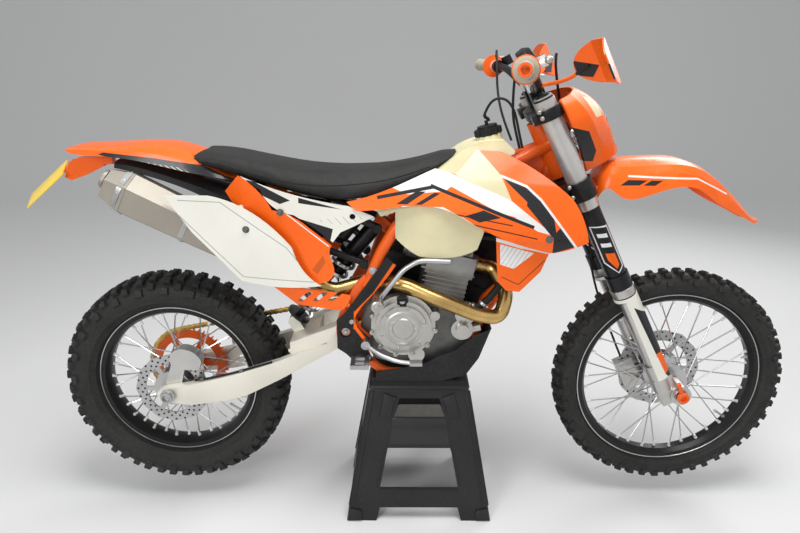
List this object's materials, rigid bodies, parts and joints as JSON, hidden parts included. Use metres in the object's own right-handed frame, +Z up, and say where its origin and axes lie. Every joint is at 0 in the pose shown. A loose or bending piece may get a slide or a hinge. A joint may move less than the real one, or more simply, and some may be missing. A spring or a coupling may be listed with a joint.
{
  "type": "enduro motorcycle on a paddock stand",
  "caption": "Off-road enduro motorcycle with long-travel fork, side silencer and wire wheels, held level on a plastic paddock stand.",
  "frame": {"origin": "on the floor under the middle of the stand and of the machine's length", "axes": "+X forward, +Y to the machine's left, +Z up"},
  "size_m": [2.2499, 0.822, 1.3983],
  "materials": {
    "black_plastic": "matte",
    "black_rubber": "matte",
    "tyre_rubber": "matte",
    "orange_plastic": "gloss",
    "orange_paint": "satin",
    "white_plastic": "gloss",
    "cream_plastic": "satin",
    "seat_cover": "matte",
    "engine_alloy": "satin",
    "swingarm_alloy": "satin",
    "black_alloy": "satin",
    "silver_alloy": "satin",
    "steel": "brushed",
    "header_steel": "brushed",
    "silencer_steel": "brushed",
    "chain_steel": "satin",
    "yellow_plate": "satin",
    "lamp_glass": "gloss"
  },
  "bodies": {
    "chassis": {"paddock_stand": "black_plastic", "stand_mat": "black_rubber", "frame": "orange_paint", "subframe": "black_alloy", "crankcase": "engine_alloy", "engine_covers": "engine_alloy", "cylinder": "engine_alloy", "exhaust_header": "header_steel", "silencer": "silencer_steel", "radiators": "black_alloy", "fuel_tank": "cream_plastic", "fuel_cap": "black_plastic", "seat": "seat_cover", "side_covers": "orange_plastic", "number_panels": "white_plastic", "airbox": "black_plastic", "rear_fender": "orange_plastic", "number_plate": "yellow_plate", "shrouds": "orange_plastic", "skid_plate": "black_plastic", "frame_guards": "black_plastic", "foot_controls": "steel", "swingarm": "swingarm_alloy", "chain": "chain_steel", "rear_axle": "steel", "rear_caliper": "black_alloy", "shock_absorber": "black_alloy", "shock_spring": "steel", "breather_hose": "black_rubber", "control_cables": "black_rubber"},
    "steering": {"triple_clamps": "black_alloy", "fork_outer_tubes": "silver_alloy", "fork_legs": "silver_alloy", "fork_guards": "white_plastic", "handlebar": "black_alloy", "grips": "black_rubber", "bar_controls": "black_alloy", "hand_guards": "orange_plastic", "headlight_mask": "orange_plastic", "headlight": "lamp_glass", "front_caliper": "silver_alloy", "front_brake_hose": "black_rubber", "front_fender": "orange_plastic", "front_axle": "steel"},
    "rear_wheel": {"rear_tyre": "tyre_rubber", "rear_rim": "black_alloy", "rear_hub": "silver_alloy", "rear_brake_disc": "steel", "rear_sprocket": "orange_paint"},
    "front_wheel": {"front_tyre": "tyre_rubber", "front_rim": "black_alloy", "front_hub": "silver_alloy", "front_brake_disc": "steel"},
    "side_stand": {"side_stand": "steel"}
  },
  "joints": [
    {"name": "steering_hinge", "type": "hinge", "parent": "chassis", "child": "steering", "pos_m": [0.39216, 0, 1.04055], "axis": [-0.4462, 0, 0.8949], "range_deg": [-42, 42], "deforming": ["control_cables"]},
    {"name": "rear_wheel_spin", "type": "hinge", "parent": "chassis", "child": "rear_wheel", "pos_m": [-0.74, 0, 0.408], "axis": [0, 1, 0], "continuous": true},
    {"name": "front_wheel_spin", "type": "hinge", "parent": "steering", "child": "front_wheel", "pos_m": [0.768, 0, 0.41], "axis": [0, 1, 0], "continuous": true},
    {"name": "side_stand_hinge", "type": "hinge", "parent": "chassis", "child": "side_stand", "pos_m": [-0.19579, 0.15, 0.49565], "axis": [0, -0.9455, -0.3256], "range_deg": [0, 91]}
  ]
}
